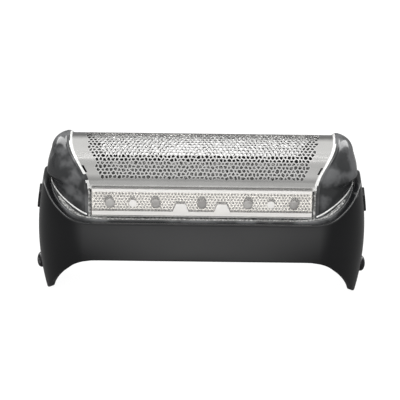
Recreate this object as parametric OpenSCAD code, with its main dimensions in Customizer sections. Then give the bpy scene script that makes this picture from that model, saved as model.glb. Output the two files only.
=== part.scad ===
// Foil head of an electric shaver: a black outer frame that slips over the
// shaver body, and in it a smoke-clear cassette that carries the arched foil.
// X runs along the head, -Y is its front, +Z is up, and z = 0 is the plane
// of the two end tongues that the head stands on.

/* [Outer frame] */
// Length over the end walls at their widest
frame_len = 62; // [58:0.5:66]
// Depth over the front and rear bands
frame_depth = 23; // [22:0.5:25]
// Radius of the four vertical corners, seen from above
corner_r = 9; // [8:0.5:10]
// Thickness of the frame's wall
frame_wall = 1.35; // [1.1:0.05:1.5]
// Height of the lower edge of the front and rear bands
band_bottom = 8.8; // [6:0.2:10]
// Height of the upper edge of the front and rear bands
band_top = 16.4; // [15.5:0.05:17.5]
// Height of the upper edge of the end walls
rim_top = 22.1; // [21.5:0.1:23]
// Radius of the upright bulge of the walls
barrel_r = 50; // [45:1:80]
// Height of the widest place of that bulge
barrel_z = 12.5; // [11:0.5:14]

/* [Ledges and guides in the frame] */
// Distance from a corner's arc to the ledge that carries the cassette
ledge_end = 3; // [2:0.5:6]
// Reach of the ledge inwards from the wall
ledge_reach = 1.1; // [0.8:0.1:1.2]
// Thickness of the ledge
ledge_t = 1; // [0.8:0.1:1.2]
// Thickness of the guide ribs inside the end tongues
guide_t = 0.9; // [0.7:0.1:1.2]
// Distance between the two guide ribs of a tongue
guide_gap = 3.6; // [3.2:0.1:4]
// Reach of the guide ribs inwards from the wall
guide_reach = 0.7; // [0.5:0.1:0.9]
// Length of the guide ribs
guide_len = 10; // [8:0.5:11]

/* [Snap bosses and end pads] */
// Diameter of the round boss that snaps into the shaver body
boss_d = 3; // [2.4:0.1:3.6]
// Height of the boss's centre
boss_z = 4.25; // [3.6:0.05:5]
// Reach of the boss past the wall beside it
boss_proud = 1.15; // [0.8:0.05:1.3]
// Height of the boss's domed crown
boss_dome = 0.8; // [0.6:0.05:0.9]
// Width of the raised pad on each end wall
pad_w = 4; // [3:0.2:5]
// Height of the raised pad
pad_h = 3.4; // [3:0.2:4]
// Height at which the raised pad starts
pad_z = 15.8; // [14.6:0.2:16.4]
// Thickness by which the pad stands proud
pad_proud = 0.4; // [0.2:0.05:0.6]

/* [Foil] */
// Distance from the band's face back to the foil's arch
foil_step = 3.8; // [3.6:0.05:4.1]
// Height of the axis of that arch
foil_axis_z = 22.2; // [22:0.1:22.6]
// Thickness of the foil
foil_t = 0.15; // [0.12:0.01:0.2]
// Distance from the end cap's end in to the foil's end at its crown
foil_end = 3.8; // [3.7:0.1:4.2]
// Distance by which each end of the foil is shorter at the foot of its arch
foil_taper = 3.4; // [3:0.1:3.8]
// Distance between cutting holes along the foil
hole_pitch = 3; // [2.8:0.1:3.6]
// Width across the corners of a cutting hole
hole_w = 2.1; // [1.6:0.1:2.3]
// Rows of cutting holes across the arch
hole_rows = 8; // [5:1:8]
// Angle between two rows of cutting holes
row_angle = 19; // [16:0.5:19.5]

/* [Cassette] */
// Thickness of the cassette's walls
cap_wall = 1.1; // [0.9:0.05:1.2]
// Distance from the frame's widest place in to the end caps' ends
cap_inset = 1.6; // [1.5:0.05:1.9]
// Distance from the band's face in to the cassette's flanks
flank_step = 2.3; // [2.2:0.05:2.4]
// Radius of the cassette's corners, seen from above
cap_corner_r = 8; // [7.5:0.1:8.2]
// Radius of the end caps' upper corners, seen from the front
cap_top_r = 3.4; // [3:0.1:3.6]
// Distance by which the end caps' sides lean in below those corners
cap_lean = 0.8; // [0.6:0.05:1]
// Height of the end caps' widest place above the frame's rim
cap_belt_rise = 1.7; // [1.4:0.1:2]
// Height by which the end caps stand above the foil's surface
cap_lip = 0.45; // [0.4:0.05:0.6]
// Thickness of the flange that sits in the frame
flange_t = 1.4; // [1.2:0.05:1.6]
// Height of the flange's upper face above the bands
flange_rise = 0.15; // [0.1:0.05:0.3]
// Clearance between the cassette and the frame's wall
cassette_gap = 0.2; // [0.15:0.05:0.3]
// Length by which the end caps cover each end of the foil
overlap = 0.7; // [0.5:0.05:0.9]
// Distance from the foil's foot in to the end of the straight opening
window_step = 1.2; // [1:0.1:1.4]
// Thickness of the wall behind the foil's skirt
sill_t = 1; // [0.8:0.05:1.1]
// Distance by which that wall stops short of the arch's axis
sill_drop = 0.8; // [0.6:0.1:1]

/* [Clamp bars and stakes] */
// Thickness of the clear bar that clamps the foil's skirt
bar_t = 0.9; // [0.8:0.05:1]
// Clearance at the ends and the lower edge of the bar
bar_gap = 0.2; // [0.15:0.05:0.3]
// Height of the bar's upper edge above the arch's axis
bar_rise = 0.2; // [0:0.05:0.3]
// Number of stakes in a row
stake_count = 5; // [3:1:5]
// Distance from the bar's end in to its last stake
stake_end = 3.5; // [2.5:0.1:4.5]
// Diameter of a stake's shank
stake_d = 1.2; // [1:0.05:1.3]
// Diameter of the flattened head of a stake
stake_head_d = 1.8; // [1.6:0.05:2]
// Height of that head
stake_head_h = 0.35; // [0.25:0.05:0.4]
// Clearance round a stake's shank
stake_gap = 0.05; // [0.03:0.01:0.08]
// Depth of the small marks moulded into the bar's face
mark_depth = 0.2; // [0.1:0.05:0.3]

/* [Hidden] */
$fn = 96;

// Overrun of every cut past the face that it opens
over = 1;
half_len = frame_len / 2;
half_depth = frame_depth / 2;
// Centre of the corner arcs, seen from above
corner_x = half_len - corner_r;
corner_y = half_depth - corner_r;
// Width that reaches past the whole head
reach = frame_len;

// Where the edges start and stop climbing round a corner
rim_ramp_shares = [0.88, -0.81];
foot_ramp_shares = [-0.7, 0.87];
rim_bend = 0.86;
foot_bend = 0.7;
ramp_steps = 10;

ledge_len = 2 * (corner_x - ledge_end);
ledge_z = band_top + flange_rise - flange_t;
// Depth of the flange's upper face below the rim of the end walls
flange_end_drop = 0.45;
flange_end_top = rim_top - flange_end_drop;
boss_face_x = half_len - sag(boss_z) + boss_proud;
boss_ball_r = (pow(boss_d / 2, 2) + pow(boss_dome, 2)) / (2 * boss_dome);

// Half lengths and half depths of what lies inside the frame
cap_half = half_len - cap_inset;
cap_depth_half = half_depth - flank_step;
foil_r = half_depth - foil_step;
foil_half_top = cap_half - foil_end;
foil_half_foot = foil_half_top - foil_taper;
window_half_top = foil_half_top - overlap;
window_half = foil_half_foot - window_step;

foil_in_r = foil_r - foil_t;
cap_r = foil_r + cap_lip;
cap_top = foil_axis_z + cap_r;
// The side opening's kink and the level where the caps' tuck begins
kink_share = 0.75;
kink_z = foil_axis_z + foil_r * kink_share;
tuck_z = rim_top + cassette_gap;
tuck_x = half_len - sag(rim_top) - frame_wall - cassette_gap;
foil_slip = 0.08;
// Length of each end of the foil, at its foot, that has no cutting holes
plain_end = 2.1;
rib_t = 1;
rib_depth = 1.8;

sill_top = foil_axis_z - sill_drop;
bar_seat_gap = 0.05;
bar_bottom = band_top + flange_rise + bar_seat_gap;
bar_top = foil_axis_z + bar_rise;
bar_half = window_half - bar_gap;
stake_pitch = 2 * (bar_half - stake_end) / max(stake_count - 1, 1);
skirt_half = bar_half - bar_gap;
skirt_bottom = bar_bottom + bar_gap * 2;
stake_z = (bar_bottom + bar_top) / 2;
stake_length = foil_t + bar_t;

// Snap legs under the flange
leg_w = 4;
leg_t = 0.9;
leg_x = ledge_len / 3;
leg_reach = 1;
leg_drop = ledge_t + leg_reach;
barb_reach = 0.55;
barb_h = 0.8;

// Places and sizes of the bar's marks, as shares of the stakes' pitch
round_mark_shares = [-1.5, 1.5];
round_mark_d = 1.45;
taper_mark_shares = [-0.46, 0.44];
taper_mark_w = 3.1;
taper_mark_top_w = 1.7;
taper_mark_h = 1.7;

// Inward sag of the bulged walls at a height
function sag(z) = barrel_r - sqrt(pow(barrel_r, 2) - pow(z - barrel_z, 2));

// Points of a rise from (a0, b0) to (a1, b1), level at both ends, with an arc
// at the foot and at the top and a straight stretch between. Bend is the
// arcs' radius as a share of the largest, at which no straight is left.
function ramp(a0, b0, a1, b1, bend) =
    let (way = a1 > a0 ? 1 : -1, run = abs(a1 - a0), rise = b1 - b0)
    let (r = bend * (pow(run, 2) + pow(rise, 2)) / (4 * rise))
    let (span = norm([run, rise - 2 * r]))
    let (tilt = atan2(rise - 2 * r, run) + asin(2 * r / span))
    concat(
        [for (i = [0:ramp_steps]) let (k = tilt * i / ramp_steps)
            [a0 + way * r * sin(k), b0 + r * (1 - cos(k))]],
        [for (i = [ramp_steps:-1:0]) let (k = tilt * i / ramp_steps)
            [a1 - way * r * sin(k), b1 - r * (1 - cos(k))]]
    );

// A profile in Y and Z, drawn along X
module along_x(length) {
    rotate([90, 0, 90])
        linear_extrude(height = length, center = true)
            children();
}

// A profile in X and Z, drawn along Y
module along_y(length) {
    rotate([90, 0, 0])
        linear_extrude(height = length, center = true)
            children();
}

// The same thing in all four corners
module each_corner() {
    for (mx = [0, 1], my = [0, 1])
        mirror([mx, 0, 0])
            mirror([0, my, 0])
                translate([corner_x, corner_y, 0])
                    children();
}

// Upright section of a wall from the corner's axis outwards
module wall_profile(inset, z0, z1) {
    intersection() {
        translate([corner_r - barrel_r, barrel_z])
            circle(r = barrel_r - inset, $fn = 360);
        translate([0, z0])
            square([corner_r + over, z1 - z0]);
    }
}

// The wall's upright section on both sides of a core that is 2 * core wide
module wall_pair(core, inset, z0, z1) {
    for (side = [0, 1])
        mirror([side, 0])
            translate([core, 0])
                wall_profile(inset, z0, z1);
    translate([-core, z0])
        square([2 * core, z1 - z0]);
}

// The frame's bulged outer form, drawn in by inset, between two heights
module barrel_block(inset, z0, z1) {
    for (i = [0:3])
        translate([(i == 0 || i == 3 ? 1 : -1) * corner_x, (i < 2 ? 1 : -1) * corner_y, 0])
            rotate([0, 0, 90 * i])
                rotate_extrude(angle = 90)
                    wall_profile(inset, z0, z1);
    along_x(2 * corner_x)
        wall_pair(corner_y, inset, z0, z1);
    along_y(2 * corner_y)
        wall_pair(corner_x, inset, z0, z1);
}

// A quarter's share of a cut: an outline across the corner, drawn outwards.
// It reaches a little past the middle planes, where the outline is level.
module quarter_prism() {
    intersection() {
        translate([-corner_x - over, -corner_y - over, -reach])
            cube([reach, reach, 2 * reach]);
        rotate([0, 0, 135])
            along_y(2 * reach)
                children();
    }
}

// All that lies above a surface that is level at band_z along the front
// and rear, climbs round the corners and is level at end_z at the ends
module above(band_z, end_z) {
    start = rim_ramp_shares[0] * corner_r;
    stop = rim_ramp_shares[1] * corner_r;
    each_corner()
        quarter_prism()
            polygon(concat(
                ramp(start, band_z, stop, end_z, rim_bend),
                [[-reach, end_z], [-reach, reach], [reach, reach], [reach, band_z]]
            ));
}

// All that lies below the frame's lower edge
module below_frame() {
    start = foot_ramp_shares[0] * corner_r;
    stop = foot_ramp_shares[1] * corner_r;
    each_corner()
        quarter_prism()
            polygon(concat(
                ramp(start, 0, stop, band_bottom, foot_bend),
                [[reach, band_bottom], [reach, -reach], [-reach, -reach], [-reach, 0]]
            ));
}

// One snap boss on the +X tongue
module snap_boss() {
    translate([boss_face_x - boss_dome, 0, boss_z])
        rotate([0, -90, 0])
            cylinder(d = boss_d, h = boss_proud - boss_dome + frame_wall);
    intersection() {
        translate([boss_face_x - boss_ball_r, 0, boss_z])
            sphere(r = boss_ball_r);
        translate([boss_face_x - boss_dome - guide_t, -boss_d / 2, boss_z - boss_d / 2])
            cube([boss_dome + guide_t, boss_d, boss_d]);
    }
}

// Raised pad on the +X end wall
module end_pad() {
    intersection() {
        translate([corner_x, 0, 0])
            along_y(pad_w)
                wall_profile(-pad_proud, pad_z, pad_z + pad_h);
        translate([corner_x + corner_r - 2 * frame_wall, -pad_w / 2, 0])
            cube([2 * frame_wall + pad_proud + over, pad_w, rim_top]);
    }
}

// Two upright ribs inside the +X tongue
module tongue_guides() {
    for (side = [-1, 1])
        intersection() {
            translate([corner_x, side * (guide_gap + guide_t) / 2, 0])
                along_y(guide_t)
                    difference() {
                        wall_profile(frame_wall / 2, ledge_t, ledge_t + guide_len);
                        wall_profile(frame_wall + guide_reach, 0, rim_top);
                    }
            translate([corner_x, -corner_y, 0])
                cube([corner_r + over, 2 * corner_y, rim_top]);
        }
}

module outer_frame() {
    color([0.10, 0.10, 0.11])
        difference() {
            union() {
                difference() {
                    barrel_block(0, -over, rim_top + over);
                    barrel_block(frame_wall, -2 * over, rim_top + 2 * over);
                }
                for (side = [0, 1])
                    mirror([side, 0, 0]) {
                        snap_boss();
                        end_pad();
                        tongue_guides();
                    }
                for (side = [0, 1])
                    mirror([0, side, 0])
                        translate([-ledge_len / 2, half_depth - frame_wall - ledge_reach, ledge_z - ledge_t])
                            cube([ledge_len, ledge_reach + frame_wall / 2, ledge_t]);
            }
            above(band_top, rim_top);
            below_frame();
        }
}

// Arch and flanks of the end caps, seen from the side
module cap_side(inset) {
    foot_z = ledge_z - over;
    foot = [cap_depth_half - inset, foot_z];
    away = norm([foot[0], foil_axis_z - foot_z]);
    turn = atan2(foot_z - foil_axis_z, foot[0]) + acos((cap_r - inset) / away);
    touch = [(cap_r - inset) * cos(turn), foil_axis_z + (cap_r - inset) * sin(turn)];
    translate([0, foil_axis_z])
        circle(r = cap_r - inset);
    polygon([foot, touch, [-touch[0], touch[1]], [-foot[0], foot[1]]]);
}

// Outline of the end caps, seen from the front: the sides lean in above the
// belt and tuck in below the frame's rim
module cap_front(inset) {
    half = cap_half - inset;
    top = cap_top - inset;
    r = cap_top_r - inset;
    centre = [half - cap_lean - r, top - r];
    difference() {
        union() {
            translate([-half, 0])
                square([2 * half, top - r]);
            translate([-centre[0], 0])
                square([2 * centre[0], top]);
            for (side = [-1, 1])
                translate([side * centre[0], centre[1]])
                    circle(r = r);
        }
        for (side = [0, 1])
            mirror([side, 0]) {
                translate([-inset, 0])
                    polygon([
                        [tuck_x, -over],
                        [tuck_x, tuck_z],
                        [cap_half + over, tuck_z + cap_wall],
                        [cap_half + over, -over]
                    ]);
                polygon([
                    [half, rim_top + cap_belt_rise], [half - cap_lean, centre[1]],
                    [half - cap_lean, cap_top + over], [half + over, cap_top + over],
                    [half + over, rim_top + cap_belt_rise]
                ]);
            }
    }
}

// Outline of the end caps, seen from above
module cap_plan(inset) {
    half = cap_half - inset;
    deep = cap_depth_half - inset;
    r = cap_corner_r - inset;
    translate([-half, r - deep])
        square([2 * half, 2 * (deep - r)]);
    translate([r - half, -deep])
        square([2 * (half - r), 2 * deep]);
    for (sx = [-1, 1], sy = [-1, 1])
        translate([sx * (half - r), sy * (deep - r)])
            circle(r = r);
}

// The end caps' form, before the opening for the foil is cut
module cap_block(inset) {
    intersection() {
        along_x(2 * reach)
            cap_side(inset);
        along_y(reach)
            cap_front(inset);
        linear_extrude(height = reach)
            cap_plan(inset);
    }
}

// The opening between the end caps, seen from the front
module window_outline(grow, z0) {
    foot = window_half + grow;
    waist = foil_half_foot - overlap + grow;
    crown = window_half_top + grow;
    polygon([
        [-foot, z0], [foot, z0], [foot, sill_top], [waist, foil_axis_z],
        [crown, kink_z], [crown, reach], [-crown, reach], [-crown, kink_z],
        [-waist, foil_axis_z], [-foot, sill_top]
    ]);
}

// A row of stakes or of the holes for them, standing on the face at y
module stake_row(y, d, length) {
    for (i = [0:stake_count - 1])
        translate([(i - (stake_count - 1) / 2) * stake_pitch, y, stake_z])
            rotate([90, 0, 0])
                cylinder(d = d, h = length, $fn = 32);
}

// Front half of what carries the foil's skirt: sill wall, stakes and legs
module skirt_carrier() {
    translate([-window_half - over, -foil_in_r, ledge_z])
        cube([2 * (window_half + over), sill_t, sill_top - ledge_z]);
    stake_row(sill_t / 2 - foil_in_r, stake_d, sill_t / 2 + stake_length + stake_head_h / 2);
    stake_row(-foil_in_r - stake_length, stake_head_d, stake_head_h);
    for (side = [-1, 1])
        translate([side * leg_x - leg_w / 2, 0, ledge_z - leg_drop]) {
            leg_face = half_depth - frame_wall - ledge_reach - cassette_gap;
            translate([0, -leg_face, 0])
                cube([leg_w, leg_t, leg_drop + flange_t / 2]);
            translate([0, -leg_face - barb_reach, 0])
                cube([leg_w, barb_reach + leg_t / 2, barb_h]);
        }
}

module foil_cassette() {
    color([0.30, 0.31, 0.33, 0.75])
        difference() {
            union() {
                difference() {
                    intersection() {
                        cap_block(0);
                        above(ledge_z, flange_end_top - flange_t);
                    }
                    cap_block(cap_wall);
                    along_y(reach)
                        window_outline(0, ledge_z - over);
                }
                difference() {
                    barrel_block(frame_wall + cassette_gap, ledge_z, rim_top);
                    above(ledge_z + flange_t, flange_end_top);
                    difference() {
                        translate([-reach, -reach, 0])
                            cube([2 * reach, 2 * reach, reach]);
                        above(ledge_z, flange_end_top - flange_t);
                    }
                    translate([0, 0, -over])
                        linear_extrude(height = reach)
                            intersection() {
                                cap_plan(cap_wall);
                                square([2 * reach, 2 * (foil_in_r - sill_t)], center = true);
                            }
                }
                for (side = [0, 1])
                    mirror([0, side, 0])
                        skirt_carrier();
                intersection() {
                    cap_block(cap_wall / 2);
                    for (side = [-1, 1])
                        translate([side * (foil_half_top + rib_t / 2), 0, 0])
                            difference() {
                                translate([0, 0, foil_axis_z])
                                    rotate([0, 90, 0])
                                        cylinder(r = cap_r, h = rib_t, center = true);
                                translate([0, 0, foil_axis_z])
                                    rotate([0, 90, 0])
                                        cylinder(r = foil_in_r - rib_depth, h = rib_t + over, center = true);
                                translate([0, 0, foil_axis_z - reach / 2])
                                    cube([rib_t + over, reach, reach], center = true);
                            }
                }
            }
            difference() {
                translate([-foil_half_top - foil_slip, 0, foil_axis_z])
                    rotate([0, 90, 0])
                        cylinder(r = foil_r + foil_slip, h = 2 * (foil_half_top + foil_slip));
                translate([-reach, -reach, sill_top - reach])
                    cube([2 * reach, 2 * reach, reach]);
                translate([-reach, 0, foil_axis_z])
                    rotate([0, 90, 0])
                        cylinder(r = foil_in_r - foil_slip, h = 2 * reach);
            }
        }
}

// The foil's arch with its two skirts, before it is perforated
module foil_sheet() {
    difference() {
        union() {
            translate([-foil_half_top, 0, foil_axis_z])
                rotate([0, 90, 0])
                    cylinder(r = foil_r, h = 2 * foil_half_top);
            translate([-skirt_half, -foil_r, skirt_bottom])
                cube([2 * skirt_half, 2 * foil_r, foil_axis_z - skirt_bottom]);
        }
        translate([-reach, 0, foil_axis_z])
            rotate([0, 90, 0])
                cylinder(r = foil_in_r, h = 2 * reach);
        translate([-reach, -foil_in_r, skirt_bottom - over])
            cube([2 * reach, 2 * foil_in_r, foil_axis_z - skirt_bottom + over]);
        translate([-reach, -reach, skirt_bottom - reach])
            cube([2 * reach, 2 * reach, reach]);
        for (side = [-1, 1])
            translate([side * (skirt_half + reach / 2), 0, foil_axis_z - reach / 2])
                cube([reach, reach, reach], center = true);
    }
}

module foil() {
    perforated_half = foil_half_foot - plain_end;
    columns = floor(2 * perforated_half / hole_pitch);
    color([0.74, 0.75, 0.76])
        difference() {
            intersection() {
                foil_sheet();
                along_y(reach)
                    polygon([
                        [-skirt_half, 0], [skirt_half, 0], [skirt_half, foil_axis_z],
                        [foil_half_foot, foil_axis_z], [foil_half_top, kink_z],
                        [foil_half_top, reach], [-foil_half_top, reach],
                        [-foil_half_top, kink_z], [-foil_half_foot, foil_axis_z],
                        [-skirt_half, foil_axis_z]
                    ]);
            }
            for (row = [0:hole_rows - 1])
                for (i = [0:columns - 1 + row % 2])
                    translate([(i - (columns - 1 + row % 2) / 2) * hole_pitch, 0, foil_axis_z])
                        rotate([(row - (hole_rows - 1) / 2) * row_angle, 0, 0])
                            translate([0, 0, foil_in_r / 2])
                                rotate([0, 0, 30])
                                    cylinder(d = hole_w, h = foil_r, $fn = 6);
            for (side = [0, 1])
                mirror([0, side, 0])
                    stake_row(over - foil_r, stake_d + 2 * stake_gap, 2 * over);
        }
}

// The clear bar that holds the front skirt on its stakes
module clamp_bar() {
    difference() {
        translate([-bar_half, -foil_r - bar_t, bar_bottom])
            cube([2 * bar_half, bar_t, bar_top - bar_bottom]);
        stake_row(over - foil_r, stake_d + 2 * stake_gap, 2 * over + bar_t);
        for (share = round_mark_shares)
            translate([share * stake_pitch, mark_depth - foil_r - bar_t, stake_z])
                rotate([90, 0, 0])
                    cylinder(d = round_mark_d, h = over, $fn = 32);
        for (share = taper_mark_shares)
            translate([share * stake_pitch, mark_depth - foil_r - bar_t, stake_z - taper_mark_h])
                rotate([90, 0, 0])
                    linear_extrude(height = over)
                        polygon([
                            [-taper_mark_w / 2, 0], [taper_mark_w / 2, 0],
                            [taper_mark_top_w / 2, taper_mark_h],
                            [-taper_mark_top_w / 2, taper_mark_h]
                        ]);
    }
}

module front_clamp_bar() {
    color([0.86, 0.85, 0.82, 0.6])
        clamp_bar();
}

module rear_clamp_bar() {
    color([0.86, 0.85, 0.82, 0.6])
        mirror([0, 1, 0])
            clamp_bar();
}

outer_frame();
foil_cassette();
foil();
front_clamp_bar();
rear_clamp_bar();
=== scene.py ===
# %% [markdown]
# # The foil head of an electric shaver
# The head is built from five moulded and etched pieces: a black outer frame,
# a smoke-clear cassette, a thin nickel foil and two clear clamp bars. The
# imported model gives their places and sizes, so this file only has to give
# each piece its fine form and its finish. It starts by loading that model.

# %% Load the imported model
import math
import random

import bmesh
import bpy
from mathutils import Matrix, Vector


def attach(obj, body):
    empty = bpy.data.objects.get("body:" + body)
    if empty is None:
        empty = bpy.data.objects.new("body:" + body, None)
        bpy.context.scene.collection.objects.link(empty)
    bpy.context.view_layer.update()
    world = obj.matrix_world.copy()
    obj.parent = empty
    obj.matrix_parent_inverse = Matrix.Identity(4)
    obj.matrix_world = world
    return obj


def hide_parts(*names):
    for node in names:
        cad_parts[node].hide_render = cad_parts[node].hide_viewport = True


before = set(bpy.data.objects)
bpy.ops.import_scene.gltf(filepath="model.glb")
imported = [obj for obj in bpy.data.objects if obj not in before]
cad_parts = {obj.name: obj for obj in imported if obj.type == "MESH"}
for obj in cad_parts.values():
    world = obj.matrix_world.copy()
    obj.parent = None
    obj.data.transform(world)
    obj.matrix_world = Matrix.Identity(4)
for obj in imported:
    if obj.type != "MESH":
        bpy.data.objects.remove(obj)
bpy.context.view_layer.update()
scene = bpy.context.scene
scene.view_settings.view_transform = "Standard"
MM = 0.001
print("nodes:", sorted(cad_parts))

# %% [markdown]
# ## The camera
# The picture was taken from far away with a long lens, from in front and 22
# degrees above. A long focal length at 0.65 m keeps the long edges parallel.
# The head leans by less than a degree in the picture, so the camera rolls.

# %% Camera
VIEW_ELEVATION = math.radians(22)
VIEW_DISTANCE = 0.65
VIEW_ROLL = math.radians(0.7)
SEEN_WIDTH = 0.0763
AIM = Vector((-0.36, 0, 16.87)) * MM

camera_data = bpy.data.cameras.new("camera")
camera_data.sensor_width = 36
camera_data.lens = camera_data.sensor_width * VIEW_DISTANCE / SEEN_WIDTH
camera_data.clip_start = 0.05
camera_data.clip_end = 20
camera = bpy.data.objects.new("camera", camera_data)
scene.collection.objects.link(camera)
backwards = Vector((0, -math.cos(VIEW_ELEVATION), math.sin(VIEW_ELEVATION)))
turned = Matrix.Rotation(math.pi / 2 - VIEW_ELEVATION, 4, "X") @ Matrix.Rotation(VIEW_ROLL, 4, "Z")
camera.matrix_world = Matrix.Translation(AIM + backwards * VIEW_DISTANCE) @ turned
scene.camera = camera
print("focal length", round(camera_data.lens, 1), "mm")

# %% [markdown]
# ## Helpers for shader nodes
# A material is a small graph. These helpers add a node, set its inputs and
# link what is given as a socket, so that each material below reads as a list
# of what its finish is made of.

# %% Node helpers
def add_node(tree, kind, values=None, **settings):
    """A new node with its settings, and its inputs set or linked by name or number."""
    node = tree.nodes.new(kind)
    for key, value in settings.items():
        setattr(node, key, value)
    for key, value in (values or {}).items():
        if isinstance(value, bpy.types.NodeSocket):
            tree.links.new(value, node.inputs[key])
        else:
            node.inputs[key].default_value = value
    return node


def maths(tree, operation, first, second=0.0, clamp=False):
    """The result of one sum on values or sockets."""
    node = add_node(tree, "ShaderNodeMath", {0: first, 1: second}, operation=operation)
    node.use_clamp = clamp
    return node.outputs[0]


def smooth_range(tree, value, low, high, to_low=0.0, to_high=1.0):
    """The value between low and high, eased into another range."""
    node = add_node(
        tree, "ShaderNodeMapRange",
        {"Value": value, "From Min": low, "From Max": high, "To Min": to_low, "To Max": to_high},
        interpolation_type="SMOOTHSTEP",
    )
    return node.outputs["Result"]


def mix_colour(tree, factor, first, second):
    """A mix of two colours or colour sockets."""
    node = add_node(tree, "ShaderNodeMix", {0: factor, 6: first, 7: second}, data_type="RGBA")
    return node.outputs[2]


def grey(level):
    return (level, level, level, 1)


print("node helpers ready")

# %% [markdown]
# ## Studio
# The head stands in a plain white studio. Its metal mirrors the room, so the
# room needs a shape: brightest overhead, a little less in front, and dark at
# the back, where the dark line along the foil's far edge comes from. A colour
# ramp gives the level at each height above the front. A long bright strip on
# each side is seen only in the domed ends, where it draws the curved
# highlights. Matt plastic is lit by an even level, and the camera and clear
# plastic see plain white.

# %% World
world = bpy.data.worlds.new("studio")
scene.world = world
world.use_nodes = True
tree = world.node_tree
tree.nodes.clear()
path = add_node(tree, "ShaderNodeLightPath")
aim = add_node(tree, "ShaderNodeTexCoord")
split = add_node(tree, "ShaderNodeSeparateXYZ", {0: aim.outputs["Generated"]})
forward = maths(tree, "MULTIPLY", split.outputs["Y"], -1.0)
height = maths(tree, "DIVIDE", maths(tree, "ARCTAN2", split.outputs["Z"], forward), math.pi)
room = add_node(tree, "ShaderNodeValToRGB", {0: height})
levels = [(0.02, 0.42), (0.1, 0.74), (0.27, 0.64), (0.5, 0.92), (0.74, 0.92), (0.86, 0.25)]
while len(room.color_ramp.elements) < len(levels):
    room.color_ramp.elements.new(0.5)
for element, (place, level) in zip(room.color_ramp.elements, levels):
    element.position, element.color = place, grey(level)
aside = smooth_range(tree, maths(tree, "ABSOLUTE", split.outputs["X"]), 0.35, 0.8, 1.0, 0.3)
slanted = maths(tree, "MULTIPLY", split.outputs["Y"], 0.3)
slanted = maths(tree, "SUBTRACT", maths(tree, "ABSOLUTE", split.outputs["X"]), slanted)
strip_in = smooth_range(tree, slanted, 0.18, 0.24)
strip_out = smooth_range(tree, slanted, 0.5, 0.62, 1.0, 0.0)
strip_long = smooth_range(tree, split.outputs["Y"], -0.5, -0.36, 0.0, 4.5)
strip_light = maths(tree, "MULTIPLY", maths(tree, "MULTIPLY", strip_in, strip_out), strip_long)
strip_light = maths(tree, "MULTIPLY", strip_light, smooth_range(tree, split.outputs["Z"], 0.2, 0.3))
studio_level = mix_colour(tree, aside, grey(0.0), room.outputs[0])
studio_level = add_node(
    tree, "ShaderNodeVectorMath", {0: studio_level, 1: strip_light}, operation="ADD"
).outputs[0]
diffuse_level = mix_colour(tree, path.outputs["Is Diffuse Ray"], studio_level, grey(0.8))
straight = maths(
    tree, "MAXIMUM", path.outputs["Is Camera Ray"], path.outputs["Is Transmission Ray"]
)
seen_level = mix_colour(tree, straight, diffuse_level, grey(1.0))
backdrop = add_node(tree, "ShaderNodeBackground", {"Color": seen_level, "Strength": 1.0})
add_node(tree, "ShaderNodeOutputWorld", {"Surface": backdrop.outputs[0]})
print("studio levels", levels)

# %% [markdown]
# Two soft boxes add a little direction to the even light: a wide one overhead
# and a weak one in front. Metal doesn't mirror them, since the room's own
# levels already hold all that it should show.

# %% Lamps
def soft_box(name, place, target, width, depth, watts):
    """A rectangular area lamp at a place, turned to a target."""
    lamp_data = bpy.data.lights.new(name, "AREA")
    lamp_data.shape = "RECTANGLE"
    lamp_data.size = width
    lamp_data.size_y = depth
    lamp_data.energy = watts
    lamp = bpy.data.objects.new(name, lamp_data)
    scene.collection.objects.link(lamp)
    lamp.location = place
    lamp.rotation_euler = (Vector(target) - Vector(place)).to_track_quat("-Z", "Y").to_euler()
    lamp.visible_glossy = False


soft_box("top_box", (0, 0.12, 0.75), (0, 0, 0.02), 0.7, 0.5, 1.0)
soft_box("front_box", (-0.25, -0.75, 0.35), (0, 0, 0.015), 0.5, 0.4, 2.8)
print("lamps:", [lamp.name for lamp in bpy.data.lights])

# %% [markdown]
# The camera sees the floor as white, with the head's shadow on it. What the black frame and the nickel mirror is
# mostly floor, so it has a level for each kind of ray. Mirrored rays see a painted pool of light in front of the
# head, less far off, and a painted shadow under the head, where little light comes.

# %% Floor
FLOOR_HALF = 3.0
sheet = bmesh.new()
bmesh.ops.create_grid(sheet, x_segments=2, y_segments=2, size=FLOOR_HALF)
floor_mesh = bpy.data.meshes.new("floor")
sheet.to_mesh(floor_mesh)
sheet.free()
floor = bpy.data.objects.new("floor", floor_mesh)
scene.collection.objects.link(floor)

floor_paint = bpy.data.materials.new("floor_paint")
floor_paint.use_nodes = True
tree = floor_paint.node_tree
tree.nodes.clear()
path = add_node(tree, "ShaderNodeLightPath")
spot = add_node(tree, "ShaderNodeTexCoord")
split = add_node(tree, "ShaderNodeSeparateXYZ", {0: spot.outputs["Object"]})
flat_spot = add_node(
    tree, "ShaderNodeCombineXYZ", {"X": split.outputs["X"], "Y": split.outputs["Y"]}
)
bearing = add_node(
    tree, "ShaderNodeVectorMath", {0: flat_spot.outputs[0]}, operation="NORMALIZE"
)
bearing_parts = add_node(tree, "ShaderNodeSeparateXYZ", {0: bearing.outputs[0]})
# Painted pool of light in front and painted shadow under the head, seen only by mirrored rays.
pool = smooth_range(tree, bearing_parts.outputs["Y"], -0.7, -1.1, 0.05, 1.42)
reach = add_node(tree, "ShaderNodeVectorMath", {0: flat_spot.outputs[0]}, operation="LENGTH")
far_off = smooth_range(tree, reach.outputs["Value"], 0.066, 0.12, 1.0, 0.3)
under = smooth_range(tree, reach.outputs["Value"], 0.022, 0.031, 0.05, 1.0)
pool = maths(tree, "MULTIPLY", maths(tree, "MULTIPLY", pool, far_off), under)
straight = maths(
    tree, "MAXIMUM", path.outputs["Is Camera Ray"], path.outputs["Is Transmission Ray"]
)
glow = maths(tree, "MULTIPLY", pool, path.outputs["Is Glossy Ray"])
glow = maths(tree, "ADD", glow, maths(tree, "MULTIPLY", straight, 0.95))
glow = maths(tree, "ADD", glow, maths(tree, "MULTIPLY", path.outputs["Is Diffuse Ray"], 0.4))
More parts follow.
